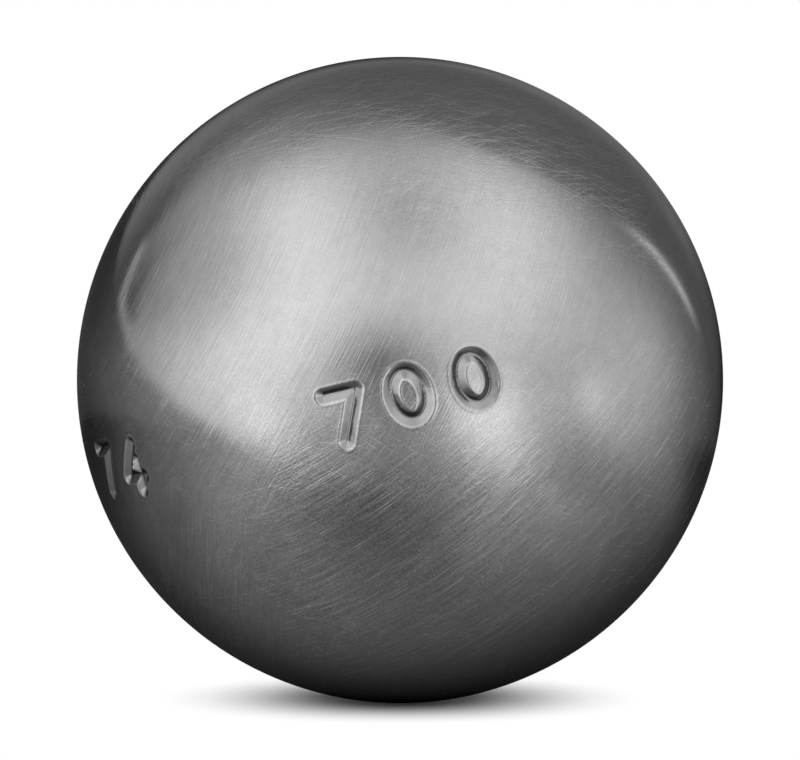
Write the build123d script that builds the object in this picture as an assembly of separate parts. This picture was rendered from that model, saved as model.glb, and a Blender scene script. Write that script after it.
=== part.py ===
"""Competition petanque boule: two forged steel half shells welded rim to rim into one hollow ball.

Frame: millimetres, origin at the centre of the ball, +Z up. The weld plane is XZ and the weld's axis is Y,
so the front half shell is on the -Y side and the rear half shell on the +Y side.

Every piece is a solid of revolution about Y, drawn in the XY plane: X is the distance from the weld's axis
and Y the distance from the weld plane.
"""

from build123d import *
import math
import os

# Driving dimensions, in millimetres and degrees
OUTER_DIAMETER = 74.0
WALL = 6.1
# Weld joint between the two rims
ROOT_FACE = 1.8
ROOT_WIDTH = 2.0
BEVEL_ANGLE = 30.0
# Root of the weld, which stands proud of the cavity's wall
ROOT_BEAD_WIDTH = 4.6
ROOT_BEAD_HEIGHT = 0.9

# Sizes that follow from the driving dimensions
OUTER_RADIUS = OUTER_DIAMETER / 2
CAVITY_RADIUS = OUTER_RADIUS - WALL


def on_circle(radius, height):
    """Point of a circle about the origin that lies at a height above the weld plane."""
    return Vector(math.sqrt(radius**2 - height**2), height)


def along_circle(radius, start, end):
    """Arc of a circle about the origin, from one of its points to another, through the point midway."""
    middle = (start + end).normalized() * radius
    return ThreePointArc(start, middle, end)


def mirrored(point):
    """The same point on the other side of the weld plane."""
    return Vector(point.X, -point.Y)


def bevel_top(bevel_foot):
    """Where the rim's bevel, which leans away from the weld plane, comes out through the outer surface."""
    lean = math.radians(BEVEL_ANGLE)
    direction = Vector(math.cos(lean), math.sin(lean))
    along = bevel_foot.dot(direction)
    reach = math.sqrt(along**2 + OUTER_RADIUS**2 - bevel_foot.dot(bevel_foot)) - along
    return bevel_foot + direction * reach


# Corners of the rim on the +Y side, from the cavity outwards: root face, then bevel
ROOT_INNER = on_circle(CAVITY_RADIUS, ROOT_WIDTH / 2)
ROOT_OUTER = ROOT_INNER + Vector(ROOT_FACE, 0)
BEVEL_OUTER = bevel_top(ROOT_OUTER)

# The weld's root: its edge on the cavity's wall, and its crest over the middle of the joint
ROOT_BEAD_TOE = on_circle(CAVITY_RADIUS, ROOT_BEAD_WIDTH / 2)
ROOT_BEAD_CREST = Vector(CAVITY_RADIUS - ROOT_BEAD_HEIGHT, 0)


def revolved(*outline):
    """Solid turned about the weld's axis from the closed outline that these lines make."""
    return revolve(make_face(Curve() + list(outline)), Axis.Y)


def half_shell():
    """Forged hemisphere on the +Y side, with its rim cut to the weld's root face and bevel."""
    outer_pole = Vector(0, OUTER_RADIUS)
    cavity_pole = Vector(0, CAVITY_RADIUS)
    return revolved(
        along_circle(CAVITY_RADIUS, cavity_pole, ROOT_INNER),
        Line(ROOT_INNER, ROOT_OUTER),
        Line(ROOT_OUTER, BEVEL_OUTER),
        along_circle(OUTER_RADIUS, BEVEL_OUTER, outer_pole),
        Line(outer_pole, cavity_pole),
    )


def weld_seam():
    """Ring of weld metal that fills the bevels, runs through the root and is turned flush outside."""
    return revolved(
        along_circle(OUTER_RADIUS, BEVEL_OUTER, mirrored(BEVEL_OUTER)),
        Line(mirrored(BEVEL_OUTER), mirrored(ROOT_OUTER)),
        Line(mirrored(ROOT_OUTER), mirrored(ROOT_INNER)),
        along_circle(CAVITY_RADIUS, mirrored(ROOT_INNER), mirrored(ROOT_BEAD_TOE)),
        ThreePointArc(mirrored(ROOT_BEAD_TOE), ROOT_BEAD_CREST, ROOT_BEAD_TOE),
        along_circle(CAVITY_RADIUS, ROOT_BEAD_TOE, ROOT_INNER),
        Line(ROOT_INNER, ROOT_OUTER),
        Line(ROOT_OUTER, BEVEL_OUTER),
    )


def main():
    rear_half_shell = half_shell()
    pieces = {
        "front_half_shell": mirror(rear_half_shell, Plane.XZ),
        "rear_half_shell": rear_half_shell,
        "weld_seam": weld_seam(),
    }
    os.makedirs("parts", exist_ok=True)
    for node, solid in pieces.items():
        export_step(solid, f"parts/{node}.step")
        print(f"{node}: {solid.volume / 1000:.2f} cm3")


main()
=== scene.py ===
"""Petanque boule: two brushed half shells, the front one struck with plain figures, and their weld.

Metres, in the frame of the solids: the origin is the centre of the ball, +Z is up and the weld's axis is Y.
The camera looks along +Y at the front half shell.
"""

import math

import bpy
import numpy as np
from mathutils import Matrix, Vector


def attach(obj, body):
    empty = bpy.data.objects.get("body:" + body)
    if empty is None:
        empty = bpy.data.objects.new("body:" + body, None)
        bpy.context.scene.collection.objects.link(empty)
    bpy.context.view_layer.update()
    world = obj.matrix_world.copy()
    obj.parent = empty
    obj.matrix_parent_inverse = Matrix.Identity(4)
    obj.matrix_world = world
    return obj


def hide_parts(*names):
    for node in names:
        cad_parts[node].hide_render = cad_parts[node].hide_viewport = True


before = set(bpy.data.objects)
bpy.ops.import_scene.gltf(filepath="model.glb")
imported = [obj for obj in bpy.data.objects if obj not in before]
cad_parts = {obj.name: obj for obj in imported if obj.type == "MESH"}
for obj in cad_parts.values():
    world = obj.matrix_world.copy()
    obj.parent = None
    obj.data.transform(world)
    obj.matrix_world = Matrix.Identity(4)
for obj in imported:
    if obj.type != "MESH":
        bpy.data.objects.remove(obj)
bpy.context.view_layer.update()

MM = 0.001


# Sizes, read from the solids

# Slack when points of a solid are picked by their place
PICK_SLACK = 0.01 * MM


def solid_points(node):
    """Corners of a solid's mesh, one row each."""
    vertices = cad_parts[node].data.vertices
    points = np.empty(len(vertices) * 3, np.float32)
    vertices.foreach_get("co", points)
    return points.reshape(-1, 3).astype(float)


def from_axis(points):
    """Distance of each point from the weld's axis."""
    return np.hypot(points[:, 0], points[:, 2])


SHELL_POINTS = solid_points("rear_half_shell")
WELD_POINTS = solid_points("weld_seam")
OUTER_RADIUS = np.linalg.norm(WELD_POINTS, axis=1).max()
CAVITY_RADIUS = np.linalg.norm(SHELL_POINTS, axis=1).min()
# The rim of a half shell: its root face, then the bevel up to the outer surface
ROOT_HALF_WIDTH = SHELL_POINTS[:, 1].min()
ROOT_FACE = from_axis(SHELL_POINTS[SHELL_POINTS[:, 1] < ROOT_HALF_WIDTH + PICK_SLACK])
ROOT_INNER = ROOT_FACE.min()
ROOT_OUTER = ROOT_FACE.max()
WELD_HALF_WIDTH = WELD_POINTS[:, 1].max()
# The weld's root, inside the cavity
ROOT_BEAD = WELD_POINTS[np.linalg.norm(WELD_POINTS, axis=1) < CAVITY_RADIUS + PICK_SLACK]
ROOT_BEAD_HALF_WIDTH = ROOT_BEAD[:, 1].max()
ROOT_BEAD_CREST = from_axis(ROOT_BEAD).min()
# Arc from a half shell's pole to its rim
RIM_ARC = math.acos(WELD_HALF_WIDTH / OUTER_RADIUS) * OUTER_RADIUS

# Struck figures: mass in grams before the camera, diameter in millimetres further round the same line.
# The line climbs to the right. Each figure has its place along the line and above the pole, in millimetres,
# and its tilt in degrees, as it came from the hand.
LINE_CLIMB = math.radians(16.4)
MASS_FIGURES = (("7", -5.2, 1.65, -2.0), ("0", 1.5, 2.0, 1.5), ("0", 8.35, 1.65, -1.0))
DIAMETER_FIGURES = (("7", -40.2, 1.45, 1.0), ("4", -33.5, 1.5, -1.5))
FIGURE_HEIGHT = 6.6 * MM
FIGURE_WIDTH = 5.0 * MM
STROKE_WIDTH = 1.65 * MM
STROKE_SLOPE = math.tan(math.radians(37))
STROKE_BOTTOM_ROUND = 0.07 * MM
STROKE_EDGE_ROUND = 0.07 * MM
LIP_HEIGHT = 0.035 * MM
LIP_WIDTH = 0.12 * MM
LIP_SINK_REACH = 2.2 * MM
# The punch was held leaning, so the bottom of a groove lies above its middle, by this share of its depth
PUNCH_LEAN = 0.28
# Straight pieces of a round figure's stroke
ROUND_PIECES = 48

# Spacing of the shell's surface lines: among the mass figures, among the foreshortened ones and elsewhere.
# Then the strip in which it changes, the margin round the figures, and samples of the density of lines.
FINE_SPACING = 0.09 * MM
SIDE_SPACING = 0.15 * MM
PLAIN_SPACING = 1.2 * MM
SPACING_STRIP = 2 * MM
FIGURE_MARGIN = 0.6 * MM
DENSITY_SAMPLES = 8001
CAVITY_RINGS = 10

# The weld's ring: steps round it, points across its outer surface and its root bead, and the bead's ripples
WELD_STEPS = 720
WELD_OUTER_POINTS = 15
WELD_BEAD_POINTS = 17
RIPPLES = 120
RIPPLE_HEIGHT = 0.05 * MM
RIPPLE_LAG = 2

# Edges that turn by more than this are sharp
SHARP_ANGLE = math.radians(30)

# Smallest length and slope that count
NO_LENGTH = 1e-12
NO_SLOPE = 1e-6


# Geometry

def unit(vectors):
    """Vectors of length one in the same directions."""
    return vectors / np.linalg.norm(vectors, axis=-1, keepdims=True)


def smooth_step(edge_from, edge_to, value):
    """0 before one edge and 1 after the other, with an S curve between."""
    share = np.clip((value - edge_from) / (edge_to - edge_from), 0, 1)
    return share * share * (3 - 2 * share)


class ShellAxes:
    """Directions of a half shell: its pole, and right and up as seen by someone who looks at the pole."""

    def __init__(self, side, climb):
        self.pole = np.array([0.0, side, 0.0])
        self.right = np.array([-side * math.cos(climb), 0.0, math.sin(climb)])
        self.up = np.cross(self.pole, self.right)

    def direction(self, along, across):
        """Direction from the ball's centre to the point at these arcs from the pole, right and up."""
        angle = (np.hypot(along, across) / OUTER_RADIUS)[..., None]
        turn = np.arctan2(across, along)[..., None]
        sideways = np.cos(turn) * self.right + np.sin(turn) * self.up
        return np.cos(angle) * self.pole + np.sin(angle) * sideways


FRONT = ShellAxes(-1.0, LINE_CLIMB)
REAR = ShellAxes(1.0, 0.0)


def figure_strokes(figure):
    """Middle lines of a figure's strokes, as polylines in a box that reaches from -1 to 1 both ways."""
    turn = np.linspace(0, 2 * np.pi, ROUND_PIECES + 1)
    return {
        "0": [np.stack([np.cos(turn), np.sin(turn)], axis=1)],
        "4": [np.array([(0.3, 1.0), (-1.0, -0.4), (1.0, -0.4)]), np.array([(0.4, 0.3), (0.4, -1.0)])],
        "7": [np.array([(-1.0, 1.0), (1.0, 1.0), (-0.3, -1.0)])],
    }[figure]


def distance_to_polyline(points, polyline):
    """Distance of each point of a plane from the nearest point of a polyline."""
    starts = polyline[:-1]
    runs = polyline[1:] - starts
    offsets = points[:, None, :] - starts
    share = np.clip((offsets * runs).sum(-1) / (runs * runs).sum(-1), 0, 1)
    return np.linalg.norm(offsets - share[..., None] * runs, axis=-1).min(axis=1)


def distance_to_figure(directions, figure, along, lift, tilt):
    """Distance on the ball from each direction to a figure's strokes, and infinity far from the figure.

    The figure is drawn on the plane that touches the ball at its middle, and a direction lies on that plane
    at its true arc from the middle.
    """
    middle = FRONT.direction(along * MM, lift * MM)
    ahead = FRONT.direction((along + 1) * MM, (lift + math.tan(math.radians(tilt))) * MM)
    right = unit(ahead - middle * (ahead @ middle))
    up = np.cross(middle, right)
    arc = np.arccos(np.clip(directions @ middle, -1, 1)) * OUTER_RADIUS
    distance = np.full(len(directions), np.inf)
    near = arc < FIGURE_HEIGHT
    flat = unit(np.stack([directions[near] @ right, directions[near] @ up], axis=1) + NO_LENGTH)
    places = flat * arc[near, None]
    half_box = np.array([FIGURE_WIDTH - STROKE_WIDTH, FIGURE_HEIGHT - STROKE_WIDTH]) / 2
    strokes = [distance_to_polyline(places, line * half_box) for line in figure_strokes(figure)]
    distance[near] = np.min(strokes, axis=0)
    return distance


def struck_relief(directions):
    """How far the surface lies above the plain ball in each direction.

    A stroke is a V-shaped groove with a rounded bottom and rounded edges. Metal pushed aside by the punch
    stands in a low lip beside it, in a shallow sink that keeps the lip inside the plain ball.
    """
    shape = directions.shape[:-1]
    flat = directions.reshape(-1, 3)
    figures = MASS_FIGURES + DIAMETER_FIGURES
    distance = np.min([distance_to_figure(flat, *figure) for figure in figures], axis=0)
    inside = STROKE_WIDTH / 2 - np.hypot(distance, STROKE_BOTTOM_ROUND)
    inside = np.where(np.isfinite(inside), inside, -FIGURE_HEIGHT)
    groove = STROKE_SLOPE * (inside + np.hypot(inside, STROKE_EDGE_ROUND)) / 2
    beyond = -inside - LIP_WIDTH
    lip = LIP_HEIGHT * np.exp(-((beyond / LIP_WIDTH) ** 2))
    sink = LIP_HEIGHT * np.exp(-((beyond / LIP_SINK_REACH) ** 2))
    return (lip - sink - groove).reshape(shape)


def plain(directions):
    """No relief."""
    return np.zeros(directions.shape[:-1])


def graded_lines(bands):
    """Line positions from rim to rim, at each band's own spacing in the bands and widely spaced elsewhere.

    The density of lines is a smooth function of the position. The lines stand at equal steps of its sum.
    """
    position = np.linspace(-RIM_ARC, RIM_ARC, DENSITY_SAMPLES)
    density = np.full(position.shape, 1 / PLAIN_SPACING)
    for low, high, spacing in bands:
        window = smooth_step(low - SPACING_STRIP, low, position)
        window = window * smooth_step(high + SPACING_STRIP, high, position)
        density = np.maximum(density, 1 / PLAIN_SPACING + window * (1 / spacing - 1 / PLAIN_SPACING))
    count = np.concatenate([[0], np.cumsum((density[1:] + density[:-1]) / 2 * np.diff(position))])
    return np.interp(np.linspace(0, count[-1], round(count[-1]) + 1), count, position)


def band(places, half_size, spacing):
    """Reach of a row of figures over a set of places, with a margin, and the spacing of lines in it."""
    half = half_size + FIGURE_MARGIN
    return min(places) * MM - half, max(places) * MM + half, spacing


def dome(axes, along_lines, across_lines):
    """Directions on a half shell's outer surface, as a grid that ends on the shell's rim.

    Two sets of lines cross the pole's square, and the square is pressed into a disc: each line bends
    outwards by the other's place, x = u * sqrt(1 - v * v / 2). The disc's radius is the arc from the pole.
    """
    u, v = np.meshgrid(along_lines / along_lines[-1], across_lines / across_lines[-1])
    return axes.direction(RIM_ARC * u * np.sqrt(1 - v * v / 2), RIM_ARC * v * np.sqrt(1 - u * u / 2))


def grid_quads(rows, columns):
    """Corner numbers of the quads of a grid whose points are numbered row by row."""
    corner = np.arange(rows * columns).reshape(rows, columns)
    quads = np.stack([corner[:-1, :-1], corner[:-1, 1:], corner[1:, 1:], corner[1:, :-1]], axis=-1)
    return quads.reshape(-1, 4)


def mesh_piece(name, points, faces, material):
    """Object of this name, smooth except at sharp edges."""
    mesh = bpy.data.meshes.new(name)
    mesh.from_pydata(points.tolist(), [], faces)
    mesh.shade_smooth()
    mesh.set_sharp_from_angle(angle=SHARP_ANGLE)
    mesh.materials.append(material)
    piece = bpy.data.objects.new(name, mesh)
    bpy.context.scene.collection.objects.link(piece)
    return piece


def half_shell(name, axes, along_lines, across_lines, relief, material):
    """Closed half shell: the outer dome, then bevel, root face and cavity as rings from its rim on."""
    directions = dome(axes, along_lines, across_lines)
    lift = relief(directions)[..., None]
    outer = (OUTER_RADIUS + lift) * directions + PUNCH_LEAN * np.maximum(-lift, 0) * axes.up
    rows, columns = outer.shape[:2]
    number = np.arange(rows * columns).reshape(rows, columns)
    rim = np.concatenate([number[0, :-1], number[:-1, -1], number[-1, :0:-1], number[:0:-1, 0]])
    outer = outer.reshape(-1, 3)
    sideways = unit(outer[rim] - np.outer(outer[rim] @ axes.pole, axes.pole))
    cavity_edge = math.acos(ROOT_HALF_WIDTH / CAVITY_RADIUS)
    cavity_angle = np.linspace(cavity_edge, 0, CAVITY_RINGS + 1)[:-1]
    height = np.concatenate([[ROOT_HALF_WIDTH], CAVITY_RADIUS * np.cos(cavity_angle)])
    radius = np.concatenate([[ROOT_OUTER], CAVITY_RADIUS * np.sin(cavity_angle)])
    rings = height[:, None, None] * axes.pole + radius[:, None, None] * sideways
    points = np.concatenate([outer, rings.reshape(-1, 3), CAVITY_RADIUS * axes.pole[None]])
    ring_numbers = len(outer) + np.arange(rings.shape[0] * len(rim)).reshape(-1, len(rim))
    loops = np.concatenate([rim[None], ring_numbers])
    following = np.roll(loops, -1, axis=1)
    walls = np.stack([following[:-1], loops[:-1], loops[1:], following[1:]], axis=-1).reshape(-1, 4)
    cap = np.stack([following[-1], loops[-1], np.full(len(rim), len(points) - 1)], axis=-1)
    faces = grid_quads(rows, columns).tolist() + walls.tolist() + cap.tolist()
    return mesh_piece(name, points, faces, material)


def weld_ring(name, material):
    """Ring of weld metal: its section carried round the weld's axis.

    The section runs along the outer surface, down one bevel and root face, over the root bead and up again.
    The bead's height ripples along the ring, in crescents that lag towards its edges.
    """
    outer_angle = np.linspace(1, -1, WELD_OUTER_POINTS) * math.asin(WELD_HALF_WIDTH / OUTER_RADIUS)
    bead_y = np.linspace(-1, 1, WELD_BEAD_POINTS) * ROOT_BEAD_HALF_WIDTH
    bead_share = 1 - (bead_y / ROOT_BEAD_HALF_WIDTH) ** 2
    toe = math.sqrt(CAVITY_RADIUS**2 - ROOT_BEAD_HALF_WIDTH**2)
    bead_radius = toe - (toe - ROOT_BEAD_CREST) * bead_share
    root_radius = np.array([ROOT_OUTER, ROOT_INNER])
    root_y = np.full(len(root_radius), ROOT_HALF_WIDTH)
    outer_y = OUTER_RADIUS * np.sin(outer_angle)
    outer_radius = OUTER_RADIUS * np.cos(outer_angle)
    section_y = np.concatenate([outer_y, -root_y, bead_y, root_y])
    section_radius = np.concatenate([outer_radius, root_radius, bead_radius, root_radius[::-1]])
    ripple_share = np.zeros(section_y.shape)
    bead_start = len(outer_y) + len(root_y)
    ripple_share[bead_start:bead_start + len(bead_y)] = bead_share
    turn = np.linspace(0, 2 * np.pi, WELD_STEPS, endpoint=False)[:, None]
    lag = RIPPLE_LAG * (section_y / ROOT_BEAD_HALF_WIDTH) ** 2
    radius = section_radius + RIPPLE_HEIGHT * ripple_share * np.cos(RIPPLES * turn - lag)
    points = np.stack([radius * np.cos(turn), section_y + 0 * turn, radius * np.sin(turn)], axis=-1)
    number = np.arange(points.shape[0] * points.shape[1]).reshape(points.shape[:2])
    ahead = np.roll(number, -1, axis=0)
    faces = np.stack([number, np.roll(number, -1, axis=1), np.roll(ahead, -1, axis=1), ahead], axis=-1)
    return mesh_piece(name, points.reshape(-1, 3), faces.reshape(-1, 4).tolist(), material)


# Materials

class Value:
    """A socket of a node tree. Arithmetic on it adds Math nodes, and node() adds any other node."""

    def __init__(self, tree, socket=None):
        self.tree = tree
        self.socket = socket

    def node(self, kind, settings, sockets, output=0):
        """Adds a node, sets its settings first and then its sockets, and gives one of its outputs."""
        added = self.tree.nodes.new("ShaderNode" + kind)
        for setting, value in settings.items():
            setattr(added, setting, value)
        for name, value in sockets.items():
            if isinstance(value, Value):
                self.tree.links.new(value.socket, added.inputs[name])
            else:
                added.inputs[name].default_value = value
        return Value(self.tree, added.outputs[output] if added.outputs else None)

    def math(self, operation, *values):
        """Math node with this value first."""
        return self.node("Math", {"operation": operation}, dict(enumerate((self, *values))))

    def __add__(self, value):
        return self.math("ADD", value)

    __radd__ = __add__

    def __sub__(self, value):
        return self.math("SUBTRACT", value)

    def __rsub__(self, value):
        return self.node("Math", {"operation": "SUBTRACT"}, {0: value, 1: self})

    def __mul__(self, value):
        return self.math("MULTIPLY", value)

    __rmul__ = __mul__

    def step(self, edge_from, edge_to):
        """0 before one edge and 1 after the other, with an S curve between."""
        settings = {"interpolation_type": "SMOOTHSTEP"}
        return self.node("MapRange", settings, {"Value": self, "From Min": edge_from, "From Max": edge_to})

    def mix(self, other, share):
        """This value where the share is 0, and the other where it is 1."""
        return self + (other - self) * share


# Lengths in the steel are millimetres. Noise reaches from 0 to 1, evenly about its middle.
MIDDLE = 0.5
# Base colour of the shells and of the weld
STEEL_TONE = 0.21
WELD_TONE = 0.205
# Share of a plain metal's mirror image that is left at a grazing angle
GRAZING_SHARE = 0.55

# Depths under the ball's surface where one finish gives way to the next, and where a stroke's painted shade
# begins on its side and bottom
BRUSHED_END = (0.05, 0.16)
STROKE_SIDE = (0.05, 0.2)
STROKE_BOTTOM = (0.45, 0.7)
CAVITY_START = (1.6, 2.0)
# Painted shade in the strokes: share of the steel's tone left on a stroke's side and bottom
STROKE_SIDE_PAINTED_SHADE_SHARE = 0.7
STROKE_BOTTOM_PAINTED_SHADE_SHARE = 0.4

# Clouds: size of their patches, shift and detail
PATCHES = (24.0, (12, 5, 40), 2.0)
SCUFFS = (12.0, (7, 30, 2), 2.0)
SMUDGES = (11.0, (60, 20, 5), 2.0)
FORGE_SCALE = (3.0, (1, 2, 3), 2.0)
MOTTLE = (1.4, (9, 9, 9), 1.0)
GRIT = (0.2, (0, 0, 0), 1.0)

# Directions of the hand brushing, as slope and lean: steep over most of the ball, slanted below, upright at
# the lower left and level round the top
STEEP = (62, 12)
SLANTED = (36, 18)
UPRIGHT = (84, 0)
LEVEL = (4, -35)
# Regions of the ball: direction, how squarely the surface faces it where the region starts and where it is
# whole, and how much the broad patches break the region's edge
SLANTED_REGION = ((0.45, -0.2, -0.87), 0.05, 0.4, 0.9)
UPRIGHT_REGION = ((-0.65, 0.0, -0.75), 0.45, 0.8, -1.2)
LEVEL_REGION = ((0.0, 0.1, 1.0), 0.56, 0.8, 0.4)
TOP = ((0.2, 0.0, 1.0), 0.35, 0.65, 0.4)
UNDERSIDE = ((0.0, 0.0, -1.0), 0.5, 0.8, 0.0)
LOWER_FRONT = ((-0.1, -0.87, -0.48), 0.8, 0.96, 0.0)
UPPER_LEFT = ((-0.84, -0.42, 0.34), 0.96, 0.99, 0.0)
UPPER_RIGHT = ((0.85, -0.4, 0.34), 0.955, 0.985, 0.0)
VERY_TOP = ((0.0, 0.0, 1.0), 0.84, 0.95, 0.0)
# Coarse work lies below, towards two directions, with edges like a region's. It is strongest on the lower
# front, and some of it is missing in the upright brushing and on the underside.
# The lower part's painted shade uses the same region as the coarse work
COARSE_DIRECTIONS = ((0.15, -0.4, -0.9), (-0.15, 0.4, -0.9))
COARSE_EDGES = (0.1, 0.6)
COARSE_RAGGEDNESS = 0.6
COARSE_SHARE = 0.8
COARSE_FRONT_SHARE = 0.6
COARSE_UPRIGHT_LOSS = 0.45
COARSE_UNDERSIDE_LOSS = 0.5
# Share of the lines that is missing round the top, at the upper left and right, and at the very top
TOP_LOSS = 0.5
SIDE_LOSS = 0.5
SIDE_WISP_LOSS = 0.7
VERY_TOP_LOSS = 0.8

# Lines of the brushing: length, width and detail, and how far they waver
GRAIN = (5.0, 0.13, 2.0)
HAIRS = (5.0, 0.08, 0.0)
BUNCHES = (7.0, 0.9, 1.0)
LINE_WAVER = 0.3
# Hairs are where the noise passes between two values, turned a little from the grain and closer in bunches
HAIR_EDGES = (0.56, 0.74)
HAIR_TURN = 5
BUNCH_EDGES = (0.35, 0.62)
HAIR_LEAST = 0.4
# Scratches across the brushing, most of them where the steel is scuffed: slope, lean, length and width
SCRATCHES = (
    (25, 8, 7.0, 0.09),
    (50, -20, 6.0, 0.09),
    (3, 20, 3.0, 0.08),
    (-32, 12, 3.5, 0.08),
)
SCRATCH_RARITY = 0.71
SCUFF_EDGES = (0.4, 0.65)
SCRATCH_LEAST = 0.2
# Wisps round the top, in the same way
WISPS = (
    (28, -30, 7.0, 0.15),
    (-18, -35, 7.0, 0.16),
    (45, -20, 5.0, 0.13),
    (8, -30, 9.0, 0.16),
)
WISP_RARITY = 0.65
# How far the noise goes on past the rarity until a line is whole, and the end of its axis without lines
RARITY_STEP = 0.07
AXIS_END = (0.6, 0.85)

# Heights of the marks, with two values where coarse work adds to the first
GRAIN_HEIGHT = (0.02, 0.01)
GRIT_HEIGHT = 0.002
HAIR_DEPTH = 0.003
SCRATCH_DEPTH = 0.002
WISP_DEPTH = 0.004
STRUCK_MOTTLE_HEIGHT = 0.05
STRUCK_GRIT_HEIGHT = 0.005
# Share by which the marks lighten the steel, with two values where coarse work adds to the first, and the
# painted shade that darkens the lower part and the top
GRAIN_LIGHT = (0.24, 0.42)
GRIT_LIGHT = (0.22, 0.52)
GRIT_TOP_LIGHT = 0.14
# Hairs, scratches and wisps are lighter partly as bare worn steel and partly as painted glints, most in the
# coarse work
HAIR_WEAR_AND_GLINT = (0.05, 0.36)
SCRATCH_WEAR_AND_GLINT = (0.06, 0.28)
WISP_WEAR_AND_GLINT = 0.08
SMUDGE_LIGHT = 0.14
MOTTLE_LIGHT = 0.15
# Painted shade: shares by which the lower part, under the coarse work, and the top are darkened
LOWER_PAINTED_SHADE = 0.08
TOP_PAINTED_SHADE = 0.06
# Tone of the forge scale, and how much its cloud adds
SCALE_TONE = (0.03, 0.05)
# Roughness of the steel and of the forge scale, the polish at the upper left and right, and what marks add
STEEL_ROUGHNESS = 0.14
SCALE_ROUGHNESS = 0.7
SIDE_POLISH = 0.04
SMUDGE_ROUGHNESS = 0.1
MOTTLE_ROUGHNESS = 0.06
HAIR_ROUGHNESS = 0.12
SCRATCH_ROUGHNESS = 0.1
WISP_ROUGHNESS = 0.08


def brush_lines(place, slope, lean, length, width, detail):
    """Noise in thin sheets across an axis, which the ball's surface cuts into brushed circles.

    In the middle of the front shell the lines slope up to the right by one angle. The axis leans by the
    other towards the camera.
    """
    turned = {"Rotation": (math.radians(lean), -math.radians(slope), 0.0), "Scale": (length, length, width)}
    sheets = place.node("Mapping", {"vector_type": "TEXTURE"}, {"Vector": place, **turned})
    sockets = {"Vector": sheets, "Scale": 1.0, "Detail": detail, "Distortion": LINE_WAVER}
    return place.node("TexNoise", {}, sockets)


def cloud(place, size, shift, detail):
    """Noise alike in every direction, with patches of this size."""
    moved = place.node("Mapping", {"vector_type": "POINT"}, {"Vector": place, "Location": shift})
    return place.node("TexNoise", {}, {"Vector": moved, "Scale": 1 / size, "Detail": detail})


def towards(place, direction):
    """How far the surface faces a direction, from -1 to 1."""
    scaled = tuple(float(part) for part in unit(np.array(direction)) * MM / OUTER_RADIUS)
    return place.node("VectorMath", {"operation": "DOT_PRODUCT"}, {0: place, 1: scaled}, "Value")


def scratch(place, slope, lean, length, width, rarity):
    """Thin broken lines like the brushing's: 1 where noise passes the rarity, none near the axis's ends."""
    slope_angle, lean_angle = math.radians(slope), math.radians(lean)
    flat = math.cos(lean_angle)
    axis = (-math.sin(slope_angle) * flat, -math.sin(lean_angle), math.cos(slope_angle) * flat)
    clear = 1 - towards(place, axis).math("ABSOLUTE").step(*AXIS_END)
    lines = brush_lines(place, slope, lean, length, width, 0.0)
    return lines.step(rarity, rarity + RARITY_STEP) * clear


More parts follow.
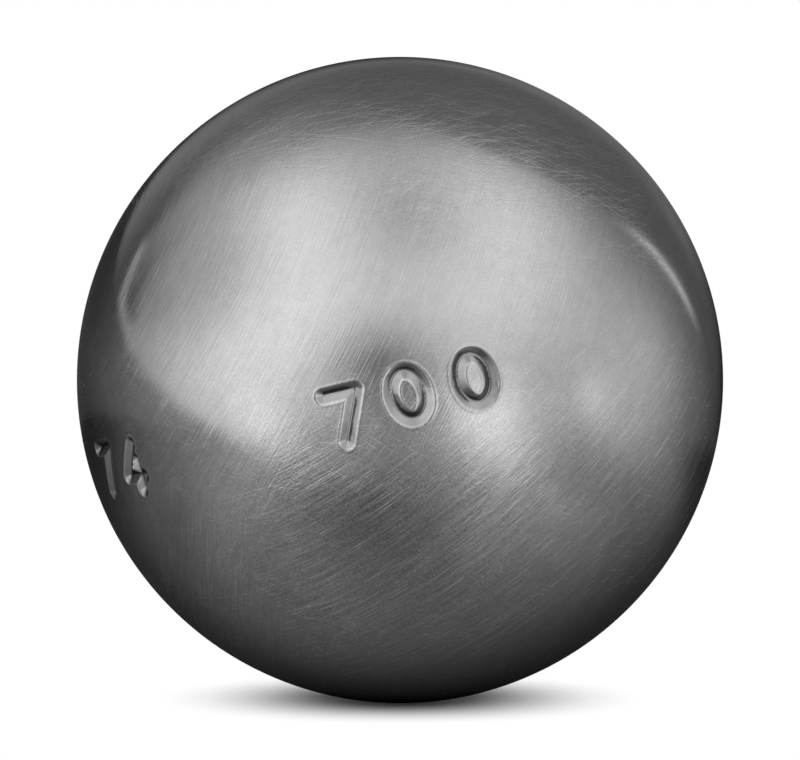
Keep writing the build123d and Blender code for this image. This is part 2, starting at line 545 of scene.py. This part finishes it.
def steel(name, tone):
    """Turned and brushed carbon steel outside, plain metal in strokes, and forge scale in the cavity.
    Painted shade darkens the strokes, the lower part and the top; lines are lighter partly as wear, partly
    as painted glints.
    """
    material = bpy.data.materials.new(name)
    material.use_nodes = True
    tree = material.node_tree
    shader = tree.nodes["Principled BSDF"]
    graph = Value(tree)
    metres = graph.node("TexCoord", {}, {}, "Object")
    place = graph.node("VectorMath", {"operation": "SCALE"}, {"Vector": metres, "Scale": 1 / MM})
    from_centre = graph.node("VectorMath", {"operation": "LENGTH"}, {"Vector": place}, "Value")
    depth = OUTER_RADIUS / MM - from_centre
    outside = 1 - depth.step(*BRUSHED_END)
    hollow = depth.step(*CAVITY_START)
    patches = cloud(place, *PATCHES) - MIDDLE

    def region(direction, edge_from, edge_to, raggedness):
        """1 in a region of the ball and 0 outside it."""
        return (towards(place, direction) + raggedness * patches).step(edge_from, edge_to)

    upright_share = region(*UPRIGHT_REGION)
    other_directions = (
        (SLANTED, region(*SLANTED_REGION)),
        (UPRIGHT, upright_share),
        (LEVEL, region(*LEVEL_REGION)),
    )

    def brushed(turn, length, width, detail):
        """Lines turned a little from the direction of the brushing in each region."""
        lines = brush_lines(place, STEEP[0] + turn, STEEP[1], length, width, detail)
        for (slope, lean), share in other_directions:
            lines = lines.mix(brush_lines(place, slope + turn, lean, length, width, detail), share)
        return lines

    below, behind = [towards(place, direction) for direction in COARSE_DIRECTIONS]
    coarse_work_and_shade = (below.math("MAXIMUM", behind) + COARSE_RAGGEDNESS * patches).step(*COARSE_EDGES)
    coarse_work_and_shade = coarse_work_and_shade * (COARSE_SHARE + COARSE_FRONT_SHARE * region(*LOWER_FRONT))
    coarse_work_and_shade = coarse_work_and_shade * (1 - COARSE_UPRIGHT_LOSS * upright_share)
    coarse_work_and_shade = coarse_work_and_shade * (1 - COARSE_UNDERSIDE_LOSS * region(*UNDERSIDE))
    top = region(*TOP)
    sides = region(*UPPER_LEFT) + region(*UPPER_RIGHT)

    def worked(values):
        """The first value, with the second added in coarse work."""
        return values[0] + values[1] * coarse_work_and_shade

    kept = (1 - TOP_LOSS * top) * (1 - SIDE_LOSS * sides) * (1 - VERY_TOP_LOSS * region(*VERY_TOP))
    grain = brushed(0, *GRAIN) - MIDDLE
    bunches = brush_lines(place, *SLANTED, *BUNCHES).step(*BUNCH_EDGES)
    hairs = brushed(HAIR_TURN, *HAIRS).step(*HAIR_EDGES) * (HAIR_LEAST + (1 - HAIR_LEAST) * bunches) * kept
    scuffed = SCRATCH_LEAST + (1 - SCRATCH_LEAST) * cloud(place, *SCUFFS).step(*SCUFF_EDGES)
    scratches = sum(scratch(place, *line, SCRATCH_RARITY) for line in SCRATCHES) * scuffed * kept
    wisps = sum(scratch(place, *line, WISP_RARITY) for line in WISPS) * top * (1 - SIDE_WISP_LOSS * sides)
    grit = cloud(place, *GRIT) - MIDDLE
    smudges = cloud(place, *SMUDGES) - MIDDLE
    mottle = cloud(place, *MOTTLE) - MIDDLE

    lines_depth = HAIR_DEPTH * hairs + SCRATCH_DEPTH * scratches + WISP_DEPTH * wisps
    brushed_height = worked(GRAIN_HEIGHT) * grain * kept + GRIT_HEIGHT * grit - lines_depth
    struck_height = STRUCK_MOTTLE_HEIGHT * mottle + STRUCK_GRIT_HEIGHT * grit
    height = struck_height.mix(brushed_height, outside)

    marks_and_painted_light = (
        worked(GRAIN_LIGHT) * grain
        + (worked(GRIT_LIGHT) + GRIT_TOP_LIGHT * top) * grit
        # Lines lighter partly as wear and partly as painted glints
        + worked(HAIR_WEAR_AND_GLINT) * hairs
        + worked(SCRATCH_WEAR_AND_GLINT) * scratches
        + WISP_WEAR_AND_GLINT * wisps
        + SMUDGE_LIGHT * smudges
        + MOTTLE_LIGHT * mottle
        # Painted shade, darker on the lower part and at the top
        - LOWER_PAINTED_SHADE * coarse_work_and_shade
        - TOP_PAINTED_SHADE * top
    )
    shade = (1 + marks_and_painted_light * outside) * tone
    # Painted shade: darker down a stroke's side and darker still at its bottom
    shade = shade.mix(STROKE_SIDE_PAINTED_SHADE_SHARE * tone, depth.step(*STROKE_SIDE))
    shade = shade.mix(STROKE_BOTTOM_PAINTED_SHADE_SHARE * tone, depth.step(*STROKE_BOTTOM))
    shade = shade.mix(SCALE_TONE[0] + SCALE_TONE[1] * cloud(place, *FORGE_SCALE), hollow)

    rough_lines = HAIR_ROUGHNESS * hairs + SCRATCH_ROUGHNESS * scratches + WISP_ROUGHNESS * wisps
    roughness = STEEL_ROUGHNESS - SIDE_POLISH * sides
    roughness = roughness + SMUDGE_ROUGHNESS * smudges + MOTTLE_ROUGHNESS * mottle
    roughness = (roughness + rough_lines * outside).mix(SCALE_ROUGHNESS, hollow)

    bump = graph.node("Bump", {}, {"Strength": 1.0, "Distance": MM, "Height": height})
    tree.links.new(shade.socket, shader.inputs["Base Color"])
    tree.links.new(roughness.socket, shader.inputs["Roughness"])
    tree.links.new(bump.socket, shader.inputs["Normal"])
    shader.inputs["Metallic"].default_value = 1.0
    shader.inputs["Specular Tint"].default_value = (GRAZING_SHARE, GRAZING_SHARE, GRAZING_SHARE, 1.0)
    return material


# The boule

shell_steel = steel("brushed_carbon_steel", STEEL_TONE)
weld_steel = steel("brushed_weld_steel", WELD_TONE)

MASS_BAND = band([figure[1] for figure in MASS_FIGURES], FIGURE_WIDTH / 2, FINE_SPACING)
DIAMETER_BAND = band([figure[1] for figure in DIAMETER_FIGURES], FIGURE_WIDTH / 2, SIDE_SPACING)
LINE_BAND = band([figure[2] for figure in MASS_FIGURES + DIAMETER_FIGURES], FIGURE_HEIGHT / 2, FINE_SPACING)

front_half_shell = half_shell(
    "front_half_shell_struck",
    FRONT,
    graded_lines([MASS_BAND, DIAMETER_BAND]),
    graded_lines([LINE_BAND]),
    struck_relief,
    shell_steel,
)
rear_half_shell = half_shell(
    "rear_half_shell_brushed",
    REAR,
    graded_lines([]),
    graded_lines([]),
    plain,
    shell_steel,
)
weld_seam = weld_ring("weld_seam_turned", weld_steel)

for piece, node, slot in (
    (front_half_shell, "front_half_shell", "shell_steel"),
    (rear_half_shell, "rear_half_shell", "shell_steel"),
    (weld_seam, "weld_seam", "weld_steel"),
):
    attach(piece, "root")
    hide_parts(node)


# Camera, at the photograph's viewing angle

PHOTO_WIDTH_PX = 800
BALL_RADIUS_PX = 323.2
LENS_MM = 100.0
SENSOR_MM = 36.0
CAMERA_ELEVATION = math.radians(6)
CAMERA_CLIP_START = 10 * MM

ball_half_angle = math.atan(BALL_RADIUS_PX / (LENS_MM / SENSOR_MM * PHOTO_WIDTH_PX))
camera_distance = OUTER_RADIUS / math.sin(ball_half_angle)
to_camera = Vector((0.0, -math.cos(CAMERA_ELEVATION), math.sin(CAMERA_ELEVATION)))
camera_data = bpy.data.cameras.new("camera")
camera_data.lens = LENS_MM
camera_data.sensor_width = SENSOR_MM
camera_data.sensor_fit = "HORIZONTAL"
camera_data.clip_start = CAMERA_CLIP_START
camera = bpy.data.objects.new("camera", camera_data)
camera.location = to_camera * camera_distance
camera.rotation_euler = to_camera.to_track_quat("Z", "Y").to_euler()
bpy.context.scene.collection.objects.link(camera)
bpy.context.scene.camera = camera


# Floor, world and light tent

FLOOR_LEVEL = -OUTER_RADIUS
FLOOR_REACH = 4.0
FLOOR_RINGS = 24
FLOOR_STEPS = 96
WHITE = (1.0, 1.0, 1.0, 1.0)
PAPER_COLOUR = (0.9, 0.9, 0.9, 1.0)
# The floor takes the ball's shadow in an oval just in front of where it stands, and is plain white beyond
SHADOW_MIDDLE_Y = -2.0 * MM
SHADOW_INNER_RADIUS = 7.4 * MM
SHADOW_OUTER_RADIUS = 29.3 * MM
SHADOW_FLATNESS = 2.36


def shader_graph(name):
    """New material without a shader, and the graph to build one in."""
    material = bpy.data.materials.new(name)
    material.use_nodes = True
    material.node_tree.nodes.remove(material.node_tree.nodes["Principled BSDF"])
    return material, Value(material.node_tree)


def set_surface(material, surface):
    """Gives a material its finished shader."""
    output = material.node_tree.nodes["Material Output"]
    material.node_tree.links.new(surface.socket, output.inputs["Surface"])


def floor():
    """Round floor under the ball, as rings about the point where the ball stands."""
    radius = FLOOR_REACH * np.linspace(0, 1, FLOOR_RINGS)[:, None] ** 2
    turn = np.linspace(0, 2 * np.pi, FLOOR_STEPS + 1)
    level = FLOOR_LEVEL + 0 * radius * turn
    points = np.stack([radius * np.cos(turn), radius * np.sin(turn), level], axis=-1)
    material, graph = shader_graph("white_paper")
    place = graph.node("TexCoord", {}, {}, "Object")
    middle = (0.0, SHADOW_MIDDLE_Y, 0.0)
    offset = graph.node("VectorMath", {"operation": "SUBTRACT"}, {0: place, 1: middle})
    stretch = (1.0, SHADOW_FLATNESS, 0.0)
    rounded = graph.node("VectorMath", {"operation": "MULTIPLY"}, {0: offset, 1: stretch})
    from_middle = graph.node("VectorMath", {"operation": "LENGTH"}, {"Vector": rounded}, "Value")
    shaded = graph.node("BsdfDiffuse", {}, {"Color": PAPER_COLOUR})
    white = graph.node("Emission", {}, {"Color": WHITE, "Strength": 1.0})
    beyond = from_middle.step(SHADOW_INNER_RADIUS, SHADOW_OUTER_RADIUS)
    set_surface(material, graph.node("MixShader", {}, {0: beyond, 1: shaded, 2: white}))
    faces = grid_quads(FLOOR_RINGS, FLOOR_STEPS + 1).tolist()
    return mesh_piece("floor", points.reshape(-1, 3), faces, material)


# Light tent: an oval dome that stands on the floor round the ball, lit unevenly from outside.
# Lights are given as turn to the right of the camera, height and spread in degrees, and glow.
TENT_MIDDLE = np.array([-45.0, 60.0]) * MM
TENT_HALF_WIDTH = 175 * MM
TENT_HALF_DEPTH = 150 * MM
TENT_HEIGHT = 260 * MM
TENT_ROWS = 300
TENT_STEPS = 480
CLOTH_GLOW = 0.4
CLOTH_LIGHTS = (
    # Softbox on the left, its lower edge and its top
    (-53, 23, 36, 5.55),
    (-39, -7, 6, 1.4),
    (-52, 53, 28.5, 2.16),
    # Softbox over the camera
    (22.5, 28, 31, 2.2),
    # Softbox on the right, its reflectors near the floor and its side
    (32.5, 58.5, 26, 4.35),
    (27.5, -12, 13, 1.45),
    (20.5, -2.5, 8.5, 1.65),
    (54.5, -2, 6.5, 1.15),
    (73, 1.5, 25, 1.25),
    # Frames that shade the cloth between the boxes
    (16, 56.5, 25.5, -3.9),
    (-59.5, 30, 27.5, -4.65),
    (-90.5, 18, 7, -0.3),
)
# The gap for the camera: turn, height and spread, and the share of the light that is missing
CAMERA_GAP = (-4.5, 7.5, 12.5)
CAMERA_GAP_SHARE = 0.7
# The cloth ends at an arch behind the ball, with the dim room beyond
ARCH_TURN = 7.5
ARCH_TILT = 12.6
ARCH_EDGE = (-0.461, -0.286)
# A dark round hood on the right leans over the cloth: middle, radius, edge and the share of light it takes
HOOD_MIDDLE = (143, 49)
HOOD_RADIUS = 34.7
HOOD_EDGE = 0.6
HOOD_SHARE = 0.73
# Lights of the room beyond the arch
ROOM_LIGHTS = (
    (137.5, 53.5, 83, 0.48),
    (-150, 19.5, 21.5, 0.58),
    (141, 15.5, 7, 0.18),
)
# Dark doorways of the room: turn, height and spread, and the share of the light that is missing
DOORWAYS = (
    (193.5, 13, 14.5, 0.74),
    (152, -5.5, 16, 0.98),
    (188, 2, 17.5, 0.9),
    (182, 18, 12, 0.88),
)
# Wing of the cloth on the left, whose edge at the arch is sharp up to one height and soft from another
WING_LIGHT = (-115, 48, 22.5)
WING_GLOW = 1.28
WING_EDGE = -0.601
WING_SOFTNESS = (0.01, 0.414)
WING_SOFT_HEIGHTS = (20, 55)
# The table's edge cuts off the light on the left, along an arc through two bearings
TABLE_EDGE = ((-68.5, -5.9), (-118, 10.6))
TABLE_EDGE_SOFTNESS = 0.02
TABLE_REACH = (-30, -65)
TABLE_LIGHT = (-55, -10, 63)
TABLE_GLOW = 0.8
# Bright seams where the cloth folds back, and a last one along the back wall: both ends, spread and glow
SEAMS = (
    ((-118, 23.5), (-113.5, 12), 1.4, 1.5),
    ((-116, 13), (-99, 6.4), 1.8, 0.9),
    ((100, 33), (116.5, 8), 1.5, 2.2),
    ((150, 25), (208, 31), 3.5, 0.2),
)
# Grey mat on the floor, lit from the front and dark under the ball
MAT_ROWS = 60
MAT_INNER_RADIUS = 3 * MM
MAT_LEVEL = FLOOR_LEVEL + 0.05 * MM
MAT_SHADOW = (8 * MM, 76.5 * MM)
MAT_FRONT_GLOW = 1.44
MAT_BACK_GLOW = 0.032
MAT_FRONT_POWER = 2.13
MAT_LIGHTS = (
    (-6.5, -29, 29.5, -1.2),
    (-40.5, -0.7, 15, 2.2),
    (44, -23, 2.0, 2.8),
    (94.5, -12, 15, 0.51),
    (-16.5, -62.5, 25, 1.1),
    (-72, -30.5, 8.8, -0.2),
    (19, -28, 9, 0.13),
)
# Back cloth: a tube round the rear half shell, inside the cone that the ball hides from the camera. It
# starts thin and repeats the tent, mirrored front to back, so that the ball is lit behind as in front.
BACK_CLOTH_START = (3 * MM, 14 * MM)
BACK_CLOTH_END = 150 * MM
BACK_CLOTH_LEVEL = MAT_LEVEL + 0.1 * MM
BACK_CLOTH_RINGS = 160
BACK_CLOTH_STEPS = 240
# Share of the angle to the ball's outline that the back cloth's mirror image fills
BACK_CLOTH_SHARE = 0.99


def bearing(turn, height):
    """Direction at a turn to the right of the camera and a height above the horizon, in degrees."""
    turn, height = math.radians(turn), math.radians(height)
    flat = math.cos(height)
    return np.array([math.sin(turn) * flat, -math.cos(turn) * flat, math.sin(height)])


def angle_from(directions, turn, height):
    """Angle between each direction and a bearing, in degrees."""
    return np.degrees(np.arccos(np.clip(directions @ bearing(turn, height), -1, 1)))


def spot(directions, turn, height, spread):
    """1 at a bearing, falling off around it as a bell curve of the angle."""
    return np.exp(-((angle_from(directions, turn, height) / spread) ** 2))


def lit(directions, glow, lights):
    """A glow with the glow of each light added around its bearing, never below nothing."""
    return np.maximum(glow + sum(added * spot(directions, *place) for *place, added in lights), 0)


def seam(directions, start, end, spread):
    """1 on the arc between two bearings, falling off in a bell curve beside it and sharply past its ends."""
    start, end = bearing(*start), bearing(*end)
    beside = np.degrees(np.arcsin(directions @ unit(np.cross(start, end))))
    from_middle = np.arccos(np.clip(directions @ unit(start + end), -1, 1)) / (np.arccos(start @ end) / 2)
    return np.exp(-((beside / spread) ** 2) - from_middle**4)


def cloth_glow(points):
    """Glow of points on the dome: cloth before the arch, less in the camera's gap, and the room behind.

    The left wing has its own edge, sharp below and soft above. Under the table's edge only the table glows.
    """
    directions = unit(points)
    turn = np.degrees(np.arctan2(directions[..., 0], -directions[..., 1]))
    height = np.degrees(np.arcsin(directions[..., 2]))
    ahead = directions @ bearing(ARCH_TURN, -ARCH_TILT)
    cloth = lit(directions, CLOTH_GLOW, CLOTH_LIGHTS)
    cloth = cloth * (1 - CAMERA_GAP_SHARE * spot(directions, *CAMERA_GAP))
    room = lit(directions, 0.0, ROOM_LIGHTS)
    room = room * np.prod([1 - share * spot(directions, *place) for *place, share in DOORWAYS], axis=0)
    sharp, soft = WING_SOFTNESS
    softness = sharp + (soft - sharp) * smooth_step(*WING_SOFT_HEIGHTS, height)
    wing = smooth_step(WING_EDGE - softness, WING_EDGE + softness, ahead)
    room = room + WING_GLOW * wing * spot(directions, *WING_LIGHT)
    from_hood = angle_from(directions, *HOOD_MIDDLE)
    hooded = HOOD_SHARE * smooth_step(HOOD_RADIUS + HOOD_EDGE, HOOD_RADIUS - HOOD_EDGE, from_hood)
    glow = room + (cloth - room) * smooth_step(*ARCH_EDGE, ahead) * (1 - hooded)
    above_table = unit(np.cross(bearing(*TABLE_EDGE[1]), bearing(*TABLE_EDGE[0])))
    table = smooth_step(TABLE_EDGE_SOFTNESS, -TABLE_EDGE_SOFTNESS, directions @ above_table)
    table = table * smooth_step(*TABLE_REACH, turn)
    glow = glow + (TABLE_GLOW * spot(directions, *TABLE_LIGHT) - glow) * table
    return glow + sum(added * seam(directions, *place) for *place, added in SEAMS)


def mat_glow(points):
    """Glow of the mat: a power of how far a point lies in front, and lights, with none under the ball."""
    from_ball = np.hypot(points[..., 0], points[..., 1])
    ahead = ((1 - points[..., 1] / from_ball) / 2) ** MAT_FRONT_POWER
    glow = lit(unit(points), MAT_BACK_GLOW + (MAT_FRONT_GLOW - MAT_BACK_GLOW) * ahead, MAT_LIGHTS)
    return glow * smooth_step(*MAT_SHADOW, from_ball)


def tent_glow(points, headings):
    """Glow of the tent where lines from points inside it meet the dome, or the mat if that comes first."""
    half_sizes = np.array([TENT_HALF_WIDTH, TENT_HALF_DEPTH, TENT_HEIGHT])
    starts = (points - np.append(TENT_MIDDLE, FLOOR_LEVEL)) / half_sizes
    runs = headings / half_sizes
    square = (runs * runs).sum(-1)
    half_linear = (starts * runs).sum(-1)
    constant = (starts * starts).sum(-1) - 1
    reach = (np.sqrt(half_linear**2 - square * constant) - half_linear) / square
    on_dome = points + reach[..., None] * headings
    fall = (MAT_LEVEL - points[..., 2]) / np.minimum(headings[..., 2], -NO_SLOPE)
    on_mat = points + fall[..., None] * headings
    return np.where(on_dome[..., 2] > FLOOR_LEVEL, cloth_glow(on_dome), mat_glow(on_mat))


def cloth_material():
    """Cloth that glows by its glow attribute, is clear where its cover attribute is 0, and isn't a lamp."""
    material, graph = shader_graph("tent_cloth")
    strength = graph.node("Attribute", {"attribute_name": "glow"}, {}, "Fac")
    cover = graph.node("Attribute", {"attribute_name": "cover"}, {}, "Fac")
    clear = graph.node("BsdfTransparent", {}, {})
    emission = graph.node("Emission", {}, {"Strength": strength})
    set_surface(material, graph.node("MixShader", {}, {0: cover, 1: clear, 2: emission}))
    material.cycles.emission_sampling = "NONE"
    return material


def glowing_cloth(name, points, glow, cover, material):
    """Cloth of the studio, a grid of points with a glow and a cover each, that only mirror images show."""
    rows, columns = points.shape[:2]
    cloth = mesh_piece(name, points.reshape(-1, 3), grid_quads(rows, columns).tolist(), material)
    for attribute_name, values in (("glow", glow), ("cover", cover)):
        attribute = cloth.data.attributes.new(attribute_name, "FLOAT", "POINT")
        attribute.data.foreach_set("value", values.ravel().astype(np.float32))
    cloth.visible_camera = False
    cloth.visible_diffuse = False
    cloth.visible_shadow = False
    return cloth


def light_tent(material):
    """Dome from its top down to its foot, and on along the floor as a mat to the ball's place."""
    turn = np.linspace(0, 2 * np.pi, TENT_STEPS + 1)
    lift = np.linspace(math.pi / 2, 0, TENT_ROWS)[:, None]
    foot = np.stack([TENT_HALF_WIDTH * np.cos(turn), TENT_HALF_DEPTH * np.sin(turn)], axis=-1)
    plan = TENT_MIDDLE + np.cos(lift)[..., None] * foot
    height = FLOOR_LEVEL + TENT_HEIGHT * np.sin(lift) + 0 * turn
    cloth = np.concatenate([plan, height[..., None]], axis=-1)
    outer = TENT_MIDDLE + foot
    inner = MAT_INNER_RADIUS * unit(outer)
    share = np.linspace(0, 1, MAT_ROWS + 1)[1:, None, None]
    mat = outer + (inner - outer) * share
    mat = np.concatenate([mat, np.full(mat.shape[:2] + (1,), MAT_LEVEL)], axis=-1)
    glow = np.concatenate([cloth_glow(cloth), mat_glow(mat)])
    return glowing_cloth("light_tent", np.concatenate([cloth, mat]), glow, np.ones(glow.shape), material)


def mirrored_sight(eye, angles, turns):
    """Points of the ball on rings about an eye's direction, and where it mirrors the eye's sight there."""
    axis = unit(eye)
    side = unit(np.cross((0.0, 0.0, 1.0), axis))
    upright = np.cross(axis, side)
    angle, turn = np.meshgrid(angles, turns, indexing="ij")
    angle, turn = angle[..., None], turn[..., None]
    normals = np.cos(angle) * axis + np.sin(angle) * (np.cos(turn) * side + np.sin(turn) * upright)
    points = OUTER_RADIUS * normals
    to_eye = unit(eye - points)
    return points, 2 * (normals * to_eye).sum(-1, keepdims=True) * normals - to_eye


def back_cloth(material):
    """Tube with a closed end, each point where the sight of an eye behind the ball meets it, mirrored.

    The eye is the camera's mirror image, and the glow is what the camera would see in front. The tube's
    radius at any distance behind the ball's middle is the ball's radius * (1 + distance / camera distance),
    and the floor cuts it off.
    """
    front_to_back = np.array([1.0, -1.0, 1.0])
    eye = front_to_back * camera.location
    angles = np.linspace(0, BACK_CLOTH_SHARE * math.acos(OUTER_RADIUS / camera_distance), BACK_CLOTH_RINGS)
    points, headings = mirrored_sight(eye, angles, np.linspace(0, 2 * np.pi, BACK_CLOTH_STEPS + 1))
    away = -np.array(to_camera)
    start = points @ away
    run = headings @ away
    radius = OUTER_RADIUS * (1 + start / camera_distance)
    widening = OUTER_RADIUS / camera_distance * run
    square = 1 - run**2 - widening**2
    half_linear = (points * headings).sum(-1) - start * run - radius * widening
    constant = OUTER_RADIUS**2 - start**2 - radius**2
    to_wall = (np.sqrt(np.maximum(half_linear**2 - square * constant, 0)) - half_linear) / square
    to_wall = np.where(square > NO_SLOPE, to_wall, np.inf)
    to_end = np.where(run > NO_SLOPE, (BACK_CLOTH_END - start) / np.maximum(run, NO_SLOPE), np.inf)
    to_floor = (BACK_CLOTH_LEVEL - points[..., 2]) / np.minimum(headings[..., 2], -NO_SLOPE)
    reach = np.maximum(np.minimum(np.minimum(to_wall, to_end), to_floor), 0)
    glow = tent_glow(points * front_to_back, headings * front_to_back)
    cloth = points + reach[..., None] * headings
    cover = smooth_step(*BACK_CLOTH_START, cloth @ away)
    return glowing_cloth("back_cloth", cloth, glow, cover, material)


tent_cloth = cloth_material()
floor()
light_tent(tent_cloth)
back_cloth(tent_cloth)

world = bpy.data.worlds.new("white_studio")
world.use_nodes = True
world.node_tree.nodes["Background"].inputs["Color"].default_value = WHITE
world.node_tree.nodes["Background"].inputs["Strength"].default_value = 1.0
bpy.context.scene.world = world
bpy.context.scene.view_settings.view_transform = "Standard"
